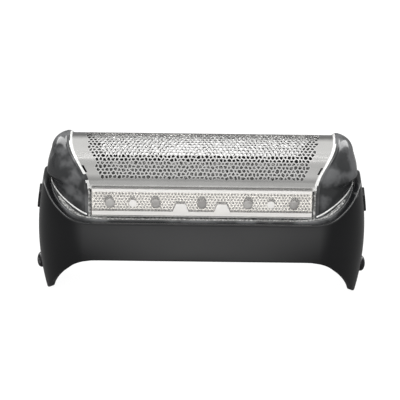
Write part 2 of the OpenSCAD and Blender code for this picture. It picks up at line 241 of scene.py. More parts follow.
lit = add_node(tree, "ShaderNodeBsdfDiffuse", {"Color": grey(0.14)})
shine = add_node(tree, "ShaderNodeEmission", {"Color": grey(1.0), "Strength": glow})
both = add_node(tree, "ShaderNodeAddShader", {0: lit.outputs[0], 1: shine.outputs[0]})
add_node(tree, "ShaderNodeOutputMaterial", {"Surface": both.outputs[0]})
floor_mesh.materials.append(floor_paint)
print("floor", 2 * FLOOR_HALF, "m wide")

# %% [markdown]
# ## Shared effects
# Every moulded face has a fine grain from the tool, and sharp edges can take a paler painted highlight. Both are
# node groups with named inputs, so that each plastic uses them with its own values.

# %% Grain and edge highlight groups
def start_group(name, inputs, outputs):
    """An empty node group with named sockets, and its input and output nodes."""
    group = bpy.data.node_groups.new(name, "ShaderNodeTree")
    for label, kind, value in inputs:
        socket = group.interface.new_socket(label, in_out="INPUT", socket_type=kind)
        socket.default_value = value
    for label, kind in outputs:
        group.interface.new_socket(label, in_out="OUTPUT", socket_type=kind)
    return group, add_node(group, "NodeGroupInput"), add_node(group, "NodeGroupOutput")


grain_group, given, result = start_group(
    "tool_grain",
    [("Scale", "NodeSocketFloat", 6000.0), ("Cloud scale", "NodeSocketFloat", 180.0)],
    [("Height", "NodeSocketFloat"), ("Cloud", "NodeSocketFloat")],
)
spot = add_node(grain_group, "ShaderNodeTexCoord")
fine = add_node(
    grain_group, "ShaderNodeTexNoise",
    {"Vector": spot.outputs["Object"], "Scale": given.outputs["Scale"], "Detail": 4.0, "Roughness": 0.6},
)
cloud = add_node(
    grain_group, "ShaderNodeTexNoise",
    {"Vector": spot.outputs["Object"], "Scale": given.outputs["Cloud scale"], "Detail": 3.0},
)
grain_group.links.new(fine.outputs["Fac"], result.inputs["Height"])
grain_group.links.new(cloud.outputs["Fac"], result.inputs["Cloud"])

# Painted highlight: a paler mask on sharp edges, found by pointiness and broken up by noise.
edge_highlight_group, given, result = start_group(
    "edge_highlight_paint",
    [("Start", "NodeSocketFloat", 0.52), ("End", "NodeSocketFloat", 0.62)],
    [("Mask", "NodeSocketFloat")],
)
shape = add_node(edge_highlight_group, "ShaderNodeNewGeometry")
spot = add_node(edge_highlight_group, "ShaderNodeTexCoord")
broken = add_node(
    edge_highlight_group, "ShaderNodeTexNoise", {"Vector": spot.outputs["Object"], "Scale": 900.0, "Detail": 3.0}
)
ridge = add_node(
    edge_highlight_group, "ShaderNodeMapRange",
    {"Value": shape.outputs["Pointiness"], "From Min": given.outputs["Start"], "From Max": given.outputs["End"]},
    interpolation_type="SMOOTHSTEP",
)
painted_highlight_mask = maths(edge_highlight_group, "MULTIPLY", ridge.outputs["Result"], maths(
    edge_highlight_group, "ADD", broken.outputs["Fac"], 0.4, clamp=True
))
edge_highlight_group.links.new(painted_highlight_mask, result.inputs["Mask"])
print("groups:", [group.name for group in bpy.data.node_groups])

# %% [markdown]
# Each finish starts in the same way, takes its values from the two groups and
# gets its fine relief from a height, so these three steps are helpers.

# %% Material helper
def start_material(name):
    """A material with only a Principled shader, and its tree."""
    material = bpy.data.materials.new(name)
    material.use_nodes = True
    shader = material.node_tree.nodes["Principled BSDF"]
    return material, material.node_tree, shader


def use_group(tree, group, **values):
    """A placed node group with its own values."""
    node = add_node(tree, "ShaderNodeGroup", node_tree=group)
    for key, value in values.items():
        node.inputs[key.replace("_", " ")].default_value = value
    return node


def bump_from(tree, shader, height, distance, strength=1.0):
    """Lets a height shape the shader's normal."""
    bump = add_node(
        tree, "ShaderNodeBump", {"Height": height, "Distance": distance, "Strength": strength}
    )
    tree.links.new(bump.outputs["Normal"], shader.inputs["Normal"])
    return bump


print("material helpers ready")

# %% [markdown]
# ## Black moulded plastic
# The outer frame is moulded in a glossy-satin black. It is almost black in itself: the grey that shows on its
# front is the bright floor seen in a faintly rippled surface, and near the ends its sharp edges carry a thin
# paler line, a painted highlight.

# %% Black plastic
black_plastic, tree, shader = start_material("black_plastic")
grain = use_group(tree, grain_group, Scale=5200.0, Cloud_scale=90.0)
edge_highlight = use_group(tree, edge_highlight_group, Start=0.515, End=0.6)
spot = add_node(tree, "ShaderNodeTexCoord")
split = add_node(tree, "ShaderNodeSeparateXYZ", {0: spot.outputs["Object"]})
# Painted highlight: sharp edges near the frame's ends are painted paler.
near_the_ends = smooth_range(tree, maths(tree, "ABSOLUTE", split.outputs["X"]), 0.0235, 0.0265)
painted_highlight_mask = maths(tree, "MULTIPLY", edge_highlight.outputs["Mask"], maths(tree, "MULTIPLY", near_the_ends, 0.6))
base = mix_colour(tree, grain.outputs["Cloud"], (0.0026, 0.0028, 0.0034, 1), (0.0048, 0.005, 0.0058, 1))
base = mix_colour(tree, painted_highlight_mask, base, grey(0.11))
tree.links.new(base, shader.inputs["Base Color"])
rough = smooth_range(tree, grain.outputs["Cloud"], 0.3, 0.7, 0.18, 0.24)
tree.links.new(rough, shader.inputs["Roughness"])
shader.inputs["IOR"].default_value = 1.55
bump_from(tree, shader, grain.outputs["Height"], 0.000004, 0.5)
print("made", black_plastic.name)

# %% [markdown]
# ## Smoke-clear plastic
# The cassette is moulded in a smoke-tinted clear plastic. Its domed ends are
# thick enough to look almost black, with a polished face and faint clouds
# from the flow of the melt. Its thin flange and stakes let more light by.

# %% Smoke-clear plastic
def smoke_plastic(name, dark, light, clearness, roughness, ripple, speckle):
    """Smoke-tinted plastic, mottled between two colours by its clouds and its grain."""
    material, tree, shader = start_material(name)
    grain = use_group(tree, grain_group, Scale=2300.0, Cloud_scale=260.0)
    mottle = mix_colour(tree, speckle, grain.outputs["Cloud"], grain.outputs["Height"])
    base = mix_colour(tree, smooth_range(tree, mottle, 0.42, 0.64), dark + (1,), light + (1,))
    tree.links.new(base, shader.inputs["Base Color"])
    rough = smooth_range(tree, grain.outputs["Cloud"], 0.3, 0.7, roughness, roughness * 1.6)
    tree.links.new(rough, shader.inputs["Roughness"])
    shader.inputs["IOR"].default_value = 1.56
    shader.inputs["Transmission Weight"].default_value = clearness
    bump_from(tree, shader, mottle, ripple, 0.6)
    return material


smoke_dome = smoke_plastic(
    "smoke_dome", (0.034, 0.035, 0.036), (0.115, 0.117, 0.12), 0.1, 0.09, 0.00003, 0.0
)
smoke_thin = smoke_plastic(
    "smoke_thin", (0.2, 0.2, 0.195), (0.78, 0.78, 0.765), 0.25, 0.16, 0.00006, 0.85
)
# Painted highlight: the palest copy of the smoke plastic, for the domes' rim, lip and foot and the bars'
# chamfers, where light catches them.
painted_highlight_edge = smoke_plastic(
    "painted_highlight_edge", (0.74, 0.74, 0.73), (0.97, 0.97, 0.95), 0.1, 0.12, 0.00002, 0.7
)
smoke_peg = smoke_plastic(
    "smoke_peg", (0.3, 0.29, 0.28), (0.44, 0.43, 0.415), 0.1, 0.15, 0.00003, 0.3
)
print("made", smoke_dome.name, smoke_thin.name, painted_highlight_edge.name, smoke_peg.name)

# %% [markdown]
# ## Nickel foil
# The foil is electroformed nickel, a few hundredths of a millimetre thick. It is bright but not a mirror: fine
# draw marks run along it and soften what it reflects. The ribs between the holes grow with rounded edges, and
# the cutting zone's ribs get a paler copy of the nickel as a painted highlight for the light those edges catch.

# %% Nickel
def nickel_finish(name, dull, bright):
    """Nickel between two greys, with draw marks along it."""
    material, tree, shader = start_material(name)
    spot = add_node(tree, "ShaderNodeTexCoord")
    stretch = add_node(
        tree, "ShaderNodeMapping", {"Vector": spot.outputs["Object"], "Scale": (120.0, 3000.0, 3000.0)}
    )
    draw_marks = add_node(
        tree, "ShaderNodeTexNoise", {"Vector": stretch.outputs[0], "Scale": 1.0, "Detail": 4.0}
    )
    grain = use_group(tree, grain_group, Scale=3000.0, Cloud_scale=160.0)
    base = mix_colour(tree, grain.outputs["Cloud"], dull, bright)
    tree.links.new(base, shader.inputs["Base Color"])
    rough = smooth_range(tree, draw_marks.outputs["Fac"], 0.3, 0.7, 0.11, 0.17)
    tree.links.new(rough, shader.inputs["Roughness"])
    shader.inputs["Metallic"].default_value = 1.0
    bump_from(tree, shader, draw_marks.outputs["Fac"], 0.000001, 0.3)
    return material


nickel = nickel_finish("nickel", (0.62, 0.615, 0.6, 1), (0.72, 0.715, 0.7, 1))
# Painted highlight: a paler copy of the nickel for the ribs of the cutting zone.
rib_nickel_painted_highlight = nickel_finish("rib_nickel_painted_highlight", (0.8, 0.795, 0.78, 1), (0.9, 0.895, 0.88, 1))
print("made", nickel.name, rib_nickel_painted_highlight.name)

# %% [markdown]
# ## Clear clamp bars
# Both bars are moulded in clear plastic with a slightly milky, warm body. The little patches on them are
# frosted, and are paler than the rest. The same pale finish also makes two strips along each bar, a painted
# reflection of the foil's plain margins behind it.

# %% Clear plastic
clear_plastic, tree, shader = start_material("clear_plastic")
grain = use_group(tree, grain_group, Scale=2200.0, Cloud_scale=300.0)
base = mix_colour(tree, grain.outputs["Cloud"], (0.92, 0.90, 0.87, 1), (0.97, 0.955, 0.93, 1))
tree.links.new(base, shader.inputs["Base Color"])
rough = smooth_range(tree, grain.outputs["Cloud"], 0.3, 0.7, 0.02, 0.05)
tree.links.new(rough, shader.inputs["Roughness"])
shader.inputs["IOR"].default_value = 1.45
shader.inputs["Transmission Weight"].default_value = 0.8
bump_from(tree, shader, grain.outputs["Cloud"], 0.000004, 0.3)

# Painted shade: a dark grey for the bar's upper and lower faces and a thin strip above its chamfer.
bar_edge_painted_shade, tree, shader = start_material("bar_edge_painted_shade")
grain = use_group(tree, grain_group, Scale=3000.0, Cloud_scale=400.0)
base = mix_colour(tree, grain.outputs["Height"], (0.17, 0.168, 0.165, 1), (0.3, 0.296, 0.29, 1))
tree.links.new(base, shader.inputs["Base Color"])
rough = smooth_range(tree, grain.outputs["Cloud"], 0.3, 0.7, 0.2, 0.3)
tree.links.new(rough, shader.inputs["Roughness"])
shader.inputs["Transmission Weight"].default_value = 0.2

# Frosted finish, also used for the pale strips that are a painted reflection of the foil's margins.
frosted_and_painted_reflection, tree, shader = start_material("frosted_and_painted_reflection")
grain = use_group(tree, grain_group, Scale=4000.0, Cloud_scale=500.0)
base = mix_colour(tree, grain.outputs["Cloud"], (0.90, 0.88, 0.85, 1), (0.97, 0.955, 0.93, 1))
tree.links.new(base, shader.inputs["Base Color"])
rough = smooth_range(tree, grain.outputs["Height"], 0.3, 0.7, 0.4, 0.6)
tree.links.new(rough, shader.inputs["Roughness"])
shader.inputs["Transmission Weight"].default_value = 0.15
bump_from(tree, shader, grain.outputs["Height"], 0.000006, 0.6)
print("made", clear_plastic.name, frosted_and_painted_reflection.name)

# %% [markdown]
# ## Sizes and mesh helpers
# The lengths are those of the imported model, in millimetres. Every mesh is
# shaped in millimetres too and scaled to metres when it becomes a piece.

# %% Sizes
HALF_LEN, HALF_DEPTH, CORNER_R = 31.0, 11.5, 9.0
CORNER_X, CORNER_Y = HALF_LEN - CORNER_R, HALF_DEPTH - CORNER_R
WALL = 1.35
BAND_BOTTOM, BAND_TOP, RIM_TOP = 8.8, 16.4, 22.1
BARREL_R, BARREL_Z = 50.0, 12.5
AXIS_Z, FOIL_R, CAP_R = 22.2, 7.7, 8.15
KINK_Z = AXIS_Z + 0.75 * FOIL_R
FLANGE_T, FLANGE_RISE, FLANGE_DROP = 1.4, 0.15, 0.45
SEAT_GAP = 0.2


def sag(z):
    """Inward curve of the bulged walls at a height."""
    return BARREL_R - math.sqrt(BARREL_R ** 2 - (z - BARREL_Z) ** 2)


def ramp(at, a0, b0, a1, b1, bend):
    """Height at a place on a rise from (a0, b0) to (a1, b1) with an arc at each end."""
    run, rise = abs(a1 - a0), b1 - b0
    gone = (at - a0) * (1 if a1 > a0 else -1)
    if gone <= 0:
        return b0
    if gone >= run:
        return b1
    r = bend * (run ** 2 + rise ** 2) / (4 * rise)
    span = math.hypot(run, rise - 2 * r)
    tilt = math.atan2(rise - 2 * r, run) + math.asin(2 * r / span)
    reach = r * math.sin(tilt)
    if gone < reach:
        return b0 + r - math.sqrt(r * r - gone * gone)
    if gone > run - reach:
        return b1 - r + math.sqrt(r * r - (run - gone) ** 2)
    return b0 + r * (1 - math.cos(tilt)) + (gone - reach) * math.tan(tilt)


def across_corner(x, y):
    """Distance across the corner, growing from the end wall to the band."""
    return ((abs(y) - CORNER_Y) - (abs(x) - CORNER_X)) / math.sqrt(2)


def rim_height(x, y, band=BAND_TOP, end=RIM_TOP):
    return ramp(across_corner(x, y), 0.88 * CORNER_R, band, -0.81 * CORNER_R, end, 0.86)


def foot_height(x, y):
    return ramp(across_corner(x, y), -0.7 * CORNER_R, 0.0, 0.87 * CORNER_R, BAND_BOTTOM, 0.7)


print("rim", rim_height(0, 11.5), rim_height(31, 0), "foot", foot_height(0, 11.5), foot_height(31, 0))

# %% [markdown]
# The helpers below hold what several pieces share: a closed loop in the
# frame's plan, rows raised from it, rounded edges, blocks and turned forms.
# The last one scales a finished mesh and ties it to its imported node.

# %% Mesh helpers
def plan_loop(bm, radius, segments=128, long_cuts=30, short_cuts=6):
    """A closed loop of edges: a circle whose quarters are moved out to the four corners."""
    bmesh.ops.create_circle(bm, segments=segments, radius=radius)
    half_step = math.pi / segments
    bmesh.ops.rotate(bm, verts=bm.verts, cent=(0, 0, 0), matrix=Matrix.Rotation(half_step, 3, "Z"))
    for vert in bm.verts:
        vert.co.x += math.copysign(CORNER_X, vert.co.x)
        vert.co.y += math.copysign(CORNER_Y, vert.co.y)
    along = [e for e in bm.edges if e.verts[0].co.x * e.verts[1].co.x < 0]
    aside = [e for e in bm.edges if e.verts[0].co.y * e.verts[1].co.y < 0]
    bmesh.ops.subdivide_edges(bm, edges=along, cuts=long_cuts)
    bmesh.ops.subdivide_edges(bm, edges=aside, cuts=short_cuts)
    return bm.edges[:]


def raise_rows(bm, loop, rows):
    """Extrudes a loop upwards, one unit of height a row."""
    for _ in range(rows):
        out = bmesh.ops.extrude_edge_only(bm, edges=loop)["geom"]
        loop = [e for e in out if isinstance(e, bmesh.types.BMEdge)]
        bmesh.ops.translate(bm, verts=[v for v in out if isinstance(v, bmesh.types.BMVert)], vec=(0, 0, 1))
    return loop


def plan_normal(x, y):
    """Direction away from the frame's core at a place, seen from above."""
    core = Vector((max(-CORNER_X, min(CORNER_X, x)), max(-CORNER_Y, min(CORNER_Y, y))))
    return (Vector((x, y)) - core).normalized()


def face_outwards(bm):
    bmesh.ops.remove_doubles(bm, verts=bm.verts, dist=0.0005)
    bmesh.ops.recalc_face_normals(bm, faces=bm.faces)


def bevel_sharp(bm, width, segments=3, angle=50, faces=None):
    """Rounds the edges that turn by more than an angle."""
    pool = bm.edges if faces is None else {e for f in faces for e in f.edges}
    sharp = [e for e in pool if e.is_valid and len(e.link_faces) == 2
             and e.calc_face_angle(0) > math.radians(angle)]
    bmesh.ops.bevel(
        bm, geom=sharp, offset=width, offset_type="OFFSET", segments=segments,
        profile=0.5, affect="EDGES", clamp_overlap=True, material=-1,
    )


def add_block(bm, low, high, width=0.12, material=0):
    """A block between two corners with rounded edges."""
    size = Vector(high) - Vector(low)
    centre = (Vector(high) + Vector(low)) / 2
    part = bmesh.new()
    place = Matrix.Translation(centre) @ Matrix.Diagonal((*size, 1))
    bmesh.ops.create_cube(part, size=1.0, matrix=place)
    bevel_sharp(part, width)
    join_into(bm, part, material)


def join_into(bm, part, material=0):
    """Adds a part's faces to a mesh and frees the part. None keeps its own materials."""
    if material is not None:
        for face in part.faces:
            face.material_index = material
    temp = bpy.data.meshes.new("part")
    part.to_mesh(temp)
    part.free()
    bm.from_mesh(temp)
    bpy.data.meshes.remove(temp)


def add_turned(bm, profile, place, axis_turn, steps=40, material=0):
    """A turned form: a profile of radius and height, spun once round its own axis."""
    part = bmesh.new()
    verts = [part.verts.new((radius, 0, height)) for radius, height in profile]
    edges = [part.edges.new(pair) for pair in zip(verts, verts[1:])]
    bmesh.ops.spin(
        part, geom=verts + edges, cent=(0, 0, 0), axis=(0, 0, 1),
        angle=2 * math.pi, steps=steps, use_merge=True,
    )
    face_outwards(part)
    bmesh.ops.transform(part, matrix=Matrix.Translation(place) @ axis_turn, verts=part.verts)
    join_into(bm, part, material)


def make_piece(bm, name, materials, node_name, smooth_angle=38):
    """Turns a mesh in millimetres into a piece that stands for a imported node."""
    bmesh.ops.scale(bm, vec=(MM, MM, MM), verts=bm.verts)
    mesh = bpy.data.meshes.new(name)
    bm.to_mesh(mesh)
    bm.free()
    for material in materials:
        mesh.materials.append(material)
    mesh.shade_smooth()
    mesh.set_sharp_from_angle(angle=math.radians(smooth_angle))
    piece = bpy.data.objects.new(name, mesh)
    scene.collection.objects.link(piece)
    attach(piece, "root")
    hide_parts(node_name)
    mesh.calc_loop_triangles()
    print(name, len(mesh.loop_triangles), "triangles")
    return piece


print("mesh helpers ready")

# %% [markdown]
# ## The outer frame
# The frame is a bulged rounded rectangle with deep arches cut out of its
# front and back, moulded as one piece with its snap bosses. A single loop,
# extruded upwards in rows, gives clean quads that follow the arches: each
# row lies at a share of the height between the lower and the upper edge.

# %% Frame shell
FRAME_ROWS = 24
body = bmesh.new()
raise_rows(body, plan_loop(body, CORNER_R), FRAME_ROWS)
for vert in body.verts:
    x, y, share = vert.co.x, vert.co.y, vert.co.z / FRAME_ROWS
    low, high = foot_height(x, y), rim_height(x, y)
    z = low + (high - low) * share
    out = plan_normal(x, y) * -sag(z)
    vert.co = (x + out.x, y + out.y, z)
face_outwards(body)
bmesh.ops.solidify(body, geom=body.faces[:], thickness=WALL)
bmesh.ops.recalc_face_normals(body, faces=body.faces)
bevel_sharp(body, 0.28, segments=3)
print("shell faces", len(body.faces))

# %% [markdown]
# The snap bosses, the raised pads on the ends, the guide ribs and the ledges
# are moulded on the shell, so they join its mesh. A boss is turned from a
# profile with a domed crown, as the tool that made its cavity was.

# %% Bosses, pads, ribs and ledges
BOSS_Z, BOSS_R, BOSS_PROUD, BOSS_DOME = 4.25, 1.5, 1.15, 0.8
boss_low = BOSS_PROUD - BOSS_DOME
boss_profile = [
    (BOSS_R + 0.1, -0.9), (BOSS_R + 0.1, -0.02), (BOSS_R + 0.02, 0.08),
    (BOSS_R, 0.16), (BOSS_R, boss_low),
]
boss_profile += [
    (BOSS_R * math.cos(k * math.pi / 16), boss_low + BOSS_DOME * math.sin(k * math.pi / 16))
    for k in range(1, 8)
] + [(0.0, BOSS_PROUD)]
for side in (-1, 1):
    face_x = HALF_LEN - sag(BOSS_Z)
    add_turned(
        body, boss_profile, (side * face_x, 0, BOSS_Z),
        Matrix.Rotation(side * math.pi / 2, 4, "Y"),
    )
    pad = bmesh.new()
    bmesh.ops.create_grid(pad, x_segments=8, y_segments=12, size=0.5)
    for vert in pad.verts:
        z = 15.8 + 3.4 * (vert.co.y + 0.5)
        vert.co = (HALF_LEN - sag(z) + 0.4, 4.0 * vert.co.x, z)
    bmesh.ops.recalc_face_normals(pad, faces=pad.faces)
    bmesh.ops.solidify(pad, geom=pad.faces[:], thickness=0.8)
    bmesh.ops.recalc_face_normals(pad, faces=pad.faces)
    bevel_sharp(pad, 0.18)
    if side < 0:
        bmesh.ops.rotate(pad, verts=pad.verts, cent=(0, 0, 0), matrix=Matrix.Rotation(math.pi, 3, "Z"))
    join_into(body, pad)
    inner_x = side * (HALF_LEN - WALL - 1.0)
    for rib in (-1, 1):
        add_block(
            body,
            (min(inner_x, inner_x + side * 0.9), rib * 2.25 - 0.45, 1.2),
            (max(inner_x, inner_x + side * 0.9), rib * 2.25 + 0.45, 10.8),
        )
    ledge_y = side * (HALF_DEPTH - WALL - 1.1)
    add_block(
        body, (-19, min(ledge_y, ledge_y + side * 1.6), 14.15), (19, max(ledge_y, ledge_y + side * 1.6), 15.15)
    )
make_piece(body, "outer_frame_shell", [black_plastic], "outer_frame")

# %% [markdown]
# ## The foil
# The foil is grown on a mandrel as a flat sheet full of odd-shaped holes and
# then bent over an arch. It is made here in the same order. A sheet of
# six-sided cells is laid out flat, its corners are pushed about by chance,
# each cell of the cutting zone is inset and its middle is taken out, and
# then the sheet is bent. The two skirts have a much finer, regular pattern.

# %% Sheets of cells
def cell_sheet(half_u, low_s, high_s, pitch):
    """A flat sheet of six-sided cells joined at their corners, u across x and s up y."""
    sheet = bmesh.new()
    row_step = pitch * math.sqrt(3) / 2
    rows = math.ceil((high_s - low_s) / row_step) + 2
    columns = math.ceil(half_u / pitch) + 1
    for row in range(rows):
        shift = 0.5 if row % 2 else 0.0
        for column in range(-columns, columns + 1):
            place = Matrix.Translation(((column + shift) * pitch, low_s + (row - 0.5) * row_step, 0))
            bmesh.ops.create_circle(
                sheet, cap_ends=True, segments=6, radius=pitch / math.sqrt(3), matrix=place
            )
    bmesh.ops.remove_doubles(sheet, verts=sheet.verts, dist=pitch * 0.05)
    return sheet


def open_cells(sheet, cells, rib, finish):
    """Insets cells and takes their middles out."""
    rings = bmesh.ops.inset_individual(sheet, faces=cells, thickness=rib / 2, use_even_offset=True)["faces"]
    for face in rings:
        face.material_index = finish
    bmesh.ops.delete(sheet, geom=cells, context="FACES")


def cut_off(sheet, place, direction):
    """Cuts away all that lies past a plane."""
    bmesh.ops.bisect_plane(
        sheet, geom=sheet.verts[:] + sheet.edges[:] + sheet.faces[:],
        plane_co=place, plane_no=direction, clear_outer=True, dist=0.00001,
    )


def bend_sheet(sheet):
    """Bends the flat sheet over the arch, with straight skirts past a quarter turn."""
    quarter = FOIL_R * math.pi / 2
    for vert in sheet.verts:
        u, s = vert.co.x, vert.co.y
        turn = max(-quarter, min(quarter, s)) / FOIL_R
        drop = max(0.0, abs(s) - quarter)
        vert.co = (u, FOIL_R * math.sin(turn), AXIS_Z + FOIL_R * math.cos(turn) - drop)


print("sheet helpers ready")

# %% [markdown]
# The openings stay clear of the arch's feet, and of its ends along a slanted
# line. On the far side they go a little further down, because light shows
# through it there. Each end of the arch has a small slit beside each foot.
# All of them are cut while the sheet is flat, which keeps their edges clean.

# %% Arch and skirts
ARCH_PITCH, ARCH_RIB = 0.78, 0.22
SKIRT_PITCH, SKIRT_RIB = 0.62, 0.2
SEAM_S = FOIL_R * math.pi / 2 + 0.2
SKIRT_S = FOIL_R * math.pi / 2 + AXIS_Z - 17.0
SKIRT_HALF = 20.6
OPEN_FRONT, OPEN_REAR = math.radians(-75.5), math.radians(83)
OPEN_HALF, OPEN_SLANT = 21.9, 0.53
SLIT_FROM, SLIT_TO = 7.8, 9.1
SLIT_U, SLIT_S = 22.1, 8.2
SLIT_ALONG, SLIT_UP = 2.0, 1.1
FOIL_T = 0.1
chance = random.Random(7)

foil_mesh = bmesh.new()
arch = cell_sheet(27, -SEAM_S, SEAM_S, ARCH_PITCH)
for vert in arch.verts:
    push = 0.2 * ARCH_PITCH
    vert.co.x += chance.uniform(-push, push)
    vert.co.y += chance.uniform(-push, push)
cutting = []
for face in arch.faces:
    u, s = face.calc_center_median()[:2]
    turn = s / FOIL_R
    height = FOIL_R * math.cos(turn)
    if OPEN_FRONT < turn < OPEN_REAR and abs(u) < OPEN_HALF - OPEN_SLANT * (FOIL_R - height):
        cutting.append(face)
print("cutting holes", len(cutting))
open_cells(arch, cutting, ARCH_RIB, 1)
cut_off(arch, (0, SEAM_S, 0), (0, 1, 0))
cut_off(arch, (0, -SEAM_S, 0), (0, -1, 0))
for side in (-1, 1):
    for end in (-1, 1):
        for place, direction in (
            ((0, side * SLIT_FROM, 0), (0, 1, 0)), ((0, side * SLIT_TO, 0), (0, 1, 0)),
            ((end * SLIT_U, side * SLIT_S, 0), (end * SLIT_ALONG, side * SLIT_UP, 0)),
        ):
            near = [
                f for f in arch.faces
                if f.calc_center_median().x * end > 20.5 and 7.0 < f.calc_center_median().y * side < 10.0
            ]
            parts = {v for f in near for v in f.verts} | {e for f in near for e in f.edges} | set(near)
            bmesh.ops.bisect_plane(arch, geom=list(parts), plane_co=place, plane_no=direction, dist=0.00001)
        slit = []
        for face in arch.faces:
            u, s = face.calc_center_median()[:2]
            past_line = SLIT_ALONG * (u * end - SLIT_U) + SLIT_UP * (s * side - SLIT_S) > 0
            if u * end > 20.5 and SLIT_FROM < s * side < SLIT_TO and past_line:
                slit.append(face)
        bmesh.ops.delete(arch, geom=slit, context="FACES")
bend_sheet(arch)
slope = Vector((KINK_Z - AXIS_Z, 0, -3.4)).normalized()
for side in (-1, 1):
    cut_off(arch, (side * 25.6, 0, 0), (side, 0, 0))
    cut_off(arch, (side * 22.2, 0, AXIS_Z), (side * slope.x, 0, slope.z))
join_into(foil_mesh, arch, material=None)

for side in (-1, 1):
    skirt = cell_sheet(22, SEAM_S, SKIRT_S, SKIRT_PITCH)
    dots = []
    for face in skirt.faces:
        u, s = face.calc_center_median()[:2]
        if abs(u) < 20.3 and SEAM_S + 0.45 < s < SKIRT_S - 0.5:
            dots.append(face)
    open_cells(skirt, dots, SKIRT_RIB, 0)
    cut_off(skirt, (0, SEAM_S, 0), (0, -1, 0))
    cut_off(skirt, (0, SKIRT_S, 0), (0, 1, 0))
    cut_off(skirt, (SKIRT_HALF, 0, 0), (1, 0, 0))
    cut_off(skirt, (-SKIRT_HALF, 0, 0), (-1, 0, 0))
    if side < 0:
        bmesh.ops.rotate(skirt, verts=skirt.verts, cent=(0, 0, 0), matrix=Matrix.Rotation(math.pi, 3, "Z"))
    bend_sheet(skirt)
    join_into(foil_mesh, skirt, material=None)
    print("dots in a skirt", len(dots))

for face in foil_mesh.faces:
    middle = face.calc_center_median()
    outwards = Vector((0, middle.y, max(0.0, middle.z - AXIS_Z)))
    if face.normal.dot(outwards) < 0:
        face.normal_flip()
bmesh.ops.solidify(foil_mesh, geom=foil_mesh.faces[:], thickness=FOIL_T)
make_piece(foil_mesh, "foil_sheet", [nickel, rib_nickel_painted_highlight], "foil", smooth_angle=50)

# %% [markdown]
# ## The clamp bars
# A clear bar clamps each skirt. It is a thin block with softened edges and a chamfer along its lower front edge,
# which is painted pale as a highlight; its upper and lower faces and a thin strip above the chamfer are painted
# dark as shade. Two pale strips along its face are a painted reflection of the foil's plain margins. Small
# frosted patches are moulded on its face between the stakes.

# %% Clamp bars
BAR_HALF, BAR_T, BAR_LOW, BAR_HIGH = 20.8, 0.9, 16.6, 22.4
STAKE_Z = (BAR_LOW + BAR_HIGH) / 2
STAKE_PITCH = 8.65
CHAMFER = 0.36


def add_patch(bm, outline, face_y, thick=0.06, material=1):
    """A thin patch with an outline in x and z, standing on the bar's face."""
    part = bmesh.new()
    verts = [part.verts.new((x, face_y, z)) for x, z in outline]
    face = part.faces.new(verts)
    rise = bmesh.ops.extrude_face_region(part, geom=[face])["geom"]
    moved = [v for v in rise if isinstance(v, bmesh.types.BMVert)]
    bmesh.ops.translate(part, verts=moved, vec=(0, -thick, 0))
    bmesh.ops.recalc_face_normals(part, faces=part.faces)
    join_into(bm, part, material)


def add_bar(bm):
    """The bar itself: its upper and lower faces are painted dark as shade, and its lower chamfer is painted pale
    as a highlight.
    """
    part = bmesh.new()
    low = Vector((-BAR_HALF, -FOIL_R - BAR_T, BAR_LOW))
    high = Vector((BAR_HALF, -FOIL_R - 0.02, BAR_HIGH))
    place = Matrix.Translation((low + high) / 2) @ Matrix.Diagonal((*(high - low), 1))
    bmesh.ops.create_cube(part, size=1.0, matrix=place)
    lower_front = [
        e for e in part.edges if all(v.co.z < BAR_LOW + 0.1 and v.co.y < low.y + 0.1 for v in e.verts)
    ]
    bmesh.ops.bevel(
        part, geom=lower_front, offset=CHAMFER, offset_type="OFFSET", segments=1,
        profile=0.5, affect="EDGES", material=-1,
    )
    # Painted light: the chamfer takes the pale highlight, the upper and lower faces the dark painted shade.
    for face in part.faces:
        if abs(face.normal.z) > 0.4:
            face.material_index = 3 if face.normal.y < -0.4 else 2
    bevel_sharp(part, 0.07, segments=2, angle=30)
    join_into(bm, part, material=None)


for name, node_name, turned_half in (
    ("front_bar", "front_clamp_bar", 0.0), ("rear_bar", "rear_clamp_bar", math.pi)
):
    bar = bmesh.new()
    add_bar(bar)
    face_y = -FOIL_R - BAR_T + 0.02
    # Painted shade and reflection: a thin dark strip above the chamfer, and pale strips for the foil's plain
    # margins.
    for low_z, high_z, material in (
        (BAR_LOW + CHAMFER + 0.02, BAR_LOW + CHAMFER + 0.13, 2),
        (BAR_LOW + CHAMFER + 0.15, BAR_LOW + CHAMFER + 0.95, 1),
        (BAR_HIGH - 0.62, BAR_HIGH - 0.06, 1),
    ):
        add_patch(bar, [
            (-BAR_HALF + 0.1, low_z), (BAR_HALF - 0.1, low_z),
            (BAR_HALF - 0.1, high_z), (-BAR_HALF + 0.1, high_z),
        ], face_y, 0.03, material)
    for share in (-1.5, 1.5):
        ring = [
            (share * STAKE_PITCH + 0.72 * math.cos(k * math.pi / 12),
             STAKE_Z + 0.72 * math.sin(k * math.pi / 12)) for k in range(24)
        ]
        add_patch(bar, ring, face_y)
    for share in (-0.46, 0.44):
        x = share * STAKE_PITCH
        add_patch(bar, [
            (x - 1.55, STAKE_Z - 1.7), (x + 1.55, STAKE_Z - 1.7), (x + 0.85, STAKE_Z), (x - 0.85, STAKE_Z)
        ], face_y)
    bmesh.ops.rotate(bar, verts=bar.verts, cent=(0, 0, 0), matrix=Matrix.Rotation(turned_half, 3, "Z"))
    make_piece(bar, name, [clear_plastic, frosted_and_painted_reflection, bar_edge_painted_shade, painted_highlight_edge], node_name)

# %% [markdown]
# ## The cassette
# The cassette is one moulding: a flange that follows the frame's rim, two
# domed ends, the walls behind the skirts and the stakes. Each dome starts as
# an arch along the edge of the opening and curls over to close at the end.

# %% Outline of the domes
CAP_HALF, CAP_DEPTH, CAP_WALL = 29.4, 9.2, 1.1
LEAN, BELT_Z = 0.8, RIM_TOP + 1.7
CROWN_CURL, FOOT_CURL_IN, FOOT_CURL_LONG = 3.4, 8.3, 9.8
TUCK_X = HALF_LEN - sag(RIM_TOP) - WALL - SEAT_GAP
FOOT_Z = BAND_TOP + FLANGE_RISE - FLANGE_T


